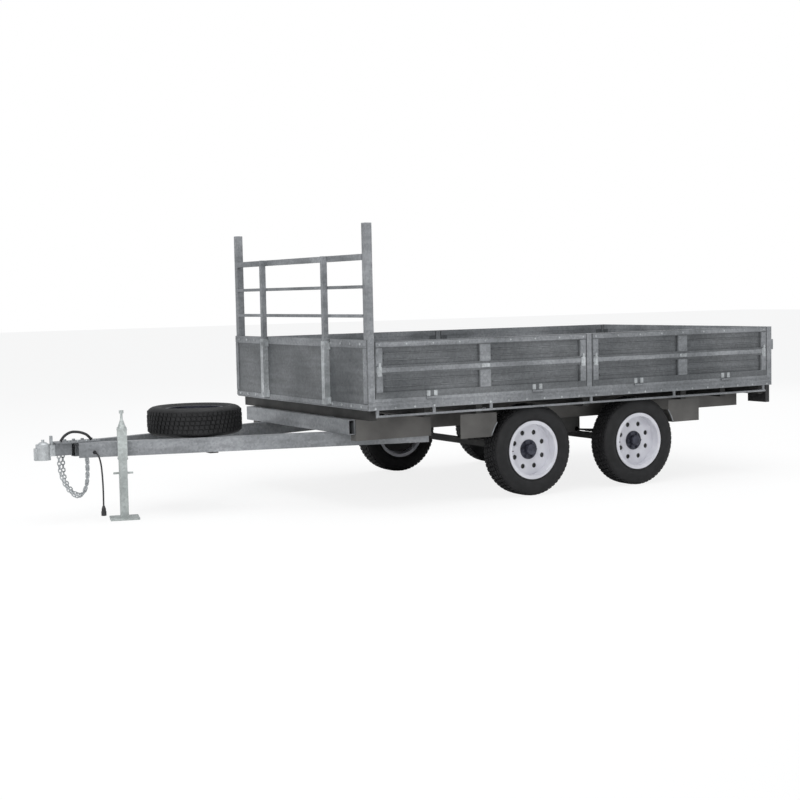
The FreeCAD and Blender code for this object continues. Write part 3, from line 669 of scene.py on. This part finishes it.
chainSizes = {"wire": 0.0042, "long": 0.026, "wide": 0.0095, "links": 26}
chainRoutes = (
    [(1.775, 0.022, 0.426), (1.777, 0.023, 0.360), (1.765, 0.042, 0.270), (1.715, 0.052, 0.180),
     (1.655, 0.060, 0.145), (1.612, 0.066, 0.200), (1.598, 0.071, 0.300), (1.600, 0.074, 0.404)],
    [(1.735, -0.022, 0.426), (1.737, -0.023, 0.350), (1.720, -0.045, 0.250), (1.660, -0.060, 0.165),
     (1.600, -0.070, 0.140), (1.560, -0.078, 0.200), (1.548, -0.083, 0.300), (1.550, -0.088, 0.404)],
)


def splineCurve(name, route, radius=0.0):
    curve = bpy.data.curves.new(name, "CURVE")
    curve.dimensions = "3D"
    spline = curve.splines.new("NURBS")
    spline.points.add(len(route) - 1)
    for point, spot in zip(spline.points, route):
        point.co = (*spot, 1)
    spline.order_u = 3
    spline.use_endpoint_u = True
    spline.resolution_u = 12
    curve.bevel_depth = radius
    curve.bevel_resolution = 4
    curve.use_fill_caps = True
    piece = bpy.data.objects.new(name, curve)
    bpy.context.scene.collection.objects.link(piece)
    return piece


def linkShape():
    size = chainSizes
    shape = bmesh.new()
    outline, around = 20, 8
    half = size["long"] / 2 - size["wide"]
    rings = []
    for step in range(outline):
        angle = 2 * math.pi * step / outline
        way = Vector((math.cos(angle), 0, math.sin(angle)))
        centre = way * (size["wide"] + 0.001) + Vector((math.copysign(half, way.x), 0, 0))
        ring = []
        for part in range(around):
            turn = 2 * math.pi * part / around
            out = way * size["wire"] * math.cos(turn)
            ring.append(shape.verts.new(centre + out + Vector((0, size["wire"] * math.sin(turn), 0))))
        rings.append(ring)
    for step in range(outline):
        for part in range(around):
            nextPart = (part + 1) % around
            after = rings[(step + 1) % outline]
            shape.faces.new((rings[step][part], after[part], after[nextPart], rings[step][nextPart]))
    return shape


def safetyChains(shift):
    paths = []
    for index, route in enumerate(chainRoutes):
        guide = splineCurve("chainGuide%d" % index, [(x + shift, y, z) for x, y, z in route])
        graph = bpy.context.evaluated_depsgraph_get()
        mesh = bpy.data.meshes.new_from_object(guide.evaluated_get(graph))
        paths.append([vert.co.copy() for vert in mesh.vertices])
        bpy.data.objects.remove(guide)
    chains = repeat("chainLinks", paths, linkShape(), chainSizes["links"], zincBright, "trailer", math.pi / 2)
    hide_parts("safety_chains")


cableRoute = [(1.560, 0.1135, 0.446), (1.558, 0.171, 0.441), (1.553, 0.212, 0.384), (1.550, 0.223, 0.292),
              (1.549, 0.227, 0.194), (1.550, 0.225, 0.102)]


plugSizes = {"shell": 0.0168, "shellTop": 0.030, "neck": 0.0142, "neckTop": 0.046, "tip": 0.0072,
             "grip": 0.0170, "grips": 4, "gripPitch": 0.006}


def trailerCable(shift):
    size = plugSizes
    route = [(x + shift, y, z) for x, y, z in cableRoute]
    cable = splineCurve("trailerCable", route, 0.0055)
    cable.data.materials.append(cableRubber)
    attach(cable, "trailer")
    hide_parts("trailer_cable")
    low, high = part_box("trailer_plug")
    x, y = (low[0] + high[0]) / 2, (low[1] + high[1]) / 2
    shape = bmesh.new()
    shellTop, neckTop = low[2] + size["shellTop"], low[2] + size["neckTop"]
    addRod(shape, (x, y, low[2]), (x, y, shellTop), size["shell"], 28)
    addRod(shape, (x, y, shellTop - 0.001), (x, y, neckTop), size["neck"], 28)
    addRod(shape, (x, y, neckTop - 0.001), (x, y, high[2]), size["neck"], 28, size["tip"])
    for ring in range(size["grips"]):
        base = low[2] + size["gripPitch"] * (ring + 1)
        addRod(shape, (x, y, base), (x, y, base + 0.003), size["grip"], 28)
    plug = finishMesh("cablePlug", closeMesh("cablePlug", shape), plugPlastic, "trailer", 40)
    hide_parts("trailer_plug")
    shape = bmesh.new()
    addRod(shape, (x + 0.010, 0.1108, 0.446), (x + 0.010, 0.135, 0.4435), 0.0125, 20, 0.0075)
    finishMesh("cableGland", closeMesh("cableGland", shape), cableRubber, "trailer", 40)


headSizes = {"boltSide": 0.048, "boltStart": 0.03, "boltEnd": 0.21, "bolt": 0.011, "ball": 0.058,
             "dome": 0.040, "domeTop": 0.020, "knob": 0.010, "pin": 0.009, "pinHalf": 0.036}


def drawbarDetail():
    # bolts on the head, and the coupling's dome, knob and cross pin
    size = headSizes
    low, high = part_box("drawbar_head")
    lines = []
    for side in (1, -1):
        y, height = side * size["boltSide"], high[2] + 0.004
        lines.append([(low[0] + size["boltStart"], y, height), (low[0] + size["boltEnd"], y, height)])
    shape = bmesh.new()
    addRod(shape, (0, 0, -0.005), (0, 0, 0.007), size["bolt"], 6)
    repeat("headBolts", lines, shape, 4, zincBright, "trailer")
    bodyLow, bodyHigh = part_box("coupling_body")
    x, top = bodyHigh[0] - size["ball"], bodyHigh[2]
    shape = bmesh.new()
    addRod(shape, (x, 0, top - 0.001), (x, 0, top + 0.014), size["dome"], 32, size["domeTop"])
    addRod(shape, (x, 0, top + 0.010), (x, 0, top + 0.030), size["knob"], 16)
    pinX, pinZ = x - 0.06, bodyLow[2] + 0.06
    addRod(shape, (pinX, -size["pinHalf"], pinZ), (pinX, size["pinHalf"], pinZ), size["pin"], 12)
    finishMesh("couplingTrim", closeMesh("couplingTrim", shape), zincBright, "trailer", 40)


jackSizes = {"turn": 16.06, "collar": 0.066, "depth": 0.012, "bevel": 0.002}


def jackDetail():
    # a collar round each end of the tube, turned with the drawbar's rail
    size = jackSizes
    low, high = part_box("jack_tube")
    legLow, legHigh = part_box("jack_leg")
    x, y = (legLow[0] + legHigh[0]) / 2, (legLow[1] + legHigh[1]) / 2
    shape = bmesh.new()
    for height in (low[2] + 0.001, high[2] - 0.014):
        turn = Matrix.Translation((x, y, height)) @ Matrix.Rotation(-math.radians(size["turn"]), 4, "Z")
        place = turn @ Matrix.Diagonal((size["collar"], size["collar"], size["depth"], 1))
        verts = bmesh.ops.create_cube(shape, size=1, matrix=place)["verts"]
        edges = list({edge for vert in verts for edge in vert.link_edges})
        bmesh.ops.bevel(shape, geom=edges, offset=size["bevel"], segments=2, affect="EDGES")
    finishMesh("jackCollars", closeMesh("jackCollars", shape), jackPaint, "trailer", 40)


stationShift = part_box("tray_frame")[1][0]
trayDetail()
rackDetail()
guardEdges()
tailLamps()
safetyChains(stationShift)
trailerCable(stationShift)
drawbarDetail()
jackDetail()
print("tray, rack and drawbar are detailed")


def studio():
    mesh = bpy.data.meshes.new("floor")
    mesh.from_pydata([(-60, -60, 0), (60, -60, 0), (60, 60, 0), (-60, 60, 0)], [], [(0, 1, 2, 3)])
    floor = bpy.data.objects.new("floor", mesh)
    bpy.context.scene.collection.objects.link(floor)
    pale, nodes, links, shader = startMaterial("paleFloor", (0.86, 0.86, 0.86), 0.9)
    rays = nodes.new("ShaderNodeLightPath")
    glow = nodes.new("ShaderNodeEmission")
    share = nodes.new("ShaderNodeMath")
    share.operation = "MULTIPLY"
    share.inputs[1].default_value = 0.84
    mixer = nodes.new("ShaderNodeMixShader")
    links.new(rays.outputs["Is Camera Ray"], share.inputs[0])
    links.new(share.outputs["Value"], mixer.inputs["Fac"])
    links.new(shader.outputs["BSDF"], mixer.inputs[1])
    links.new(glow.outputs["Emission"], mixer.inputs[2])
    links.new(mixer.outputs["Shader"], nodes["Material Output"].inputs["Surface"])
    mesh.materials.append(pale)
    world = bpy.data.worlds.new("studio")
    bpy.context.scene.world = world
    world.use_nodes = True
    nodes, links = world.node_tree.nodes, world.node_tree.links
    sky = nodes["Background"]
    sky.inputs["Color"].default_value = (0.96, 0.98, 1, 1)
    sky.inputs["Strength"].default_value = 0.62
    white = nodes.new("ShaderNodeBackground")
    white.inputs["Color"].default_value = (1, 1, 1, 1)
    rays = nodes.new("ShaderNodeLightPath")
    mixer = nodes.new("ShaderNodeMixShader")
    links.new(rays.outputs["Is Camera Ray"], mixer.inputs["Fac"])
    links.new(sky.outputs["Background"], mixer.inputs[1])
    links.new(white.outputs["Background"], mixer.inputs[2])
    links.new(mixer.outputs["Shader"], nodes["World Output"].inputs["Surface"])


lamps = {"overhead": ((0, 1, 8), 8, 520), "frontLeft": ((9, 7, 5), 5, 300), "behind": ((-8, -6, 6), 5, 160)}


def light():
    for name, (spot, size, power) in lamps.items():
        lamp = bpy.data.lights.new(name, "AREA")
        lamp.size = size
        lamp.energy = power
        piece = bpy.data.objects.new(name, lamp)
        bpy.context.scene.collection.objects.link(piece)
        piece.location = spot
        piece.rotation_euler = (Vector((0, 0, 0.6)) - Vector(spot)).to_track_quat("-Z", "Y").to_euler()


cameraSizes = {"ahead": 4.6806, "left": 9.5025, "height": 1.452, "yaw": -120.2, "pitch": 4.14, "roll": -1.19,
               "lens": 66.2}


def placeCamera(shift):
    size = cameraSizes
    yaw, pitch, roll = (math.radians(size[key]) for key in ("yaw", "pitch", "roll"))
    look = Vector((math.cos(yaw) * math.cos(pitch), math.sin(yaw) * math.cos(pitch), -math.sin(pitch)))
    right = Vector((math.sin(yaw), -math.cos(yaw), 0))
    up = right.cross(look)
    tiltedRight = right * math.cos(roll) + up * math.sin(roll)
    tiltedUp = up * math.cos(roll) - right * math.sin(roll)
    lens = bpy.data.cameras.new("camera")
    lens.lens = size["lens"]
    lens.sensor_width = 36
    camera = bpy.data.objects.new("camera", lens)
    turn = Matrix((tiltedRight, tiltedUp, -look)).transposed().to_4x4()
    camera.matrix_world = Matrix.Translation((size["ahead"] + shift, size["left"], size["height"])) @ turn
    bpy.context.scene.collection.objects.link(camera)
    bpy.context.scene.camera = camera


studio()
light()
placeCamera(stationShift)
bpy.context.scene.view_settings.view_transform = "Standard"
print("floor, lamps and camera are placed")

bpy.context.view_layer.update()
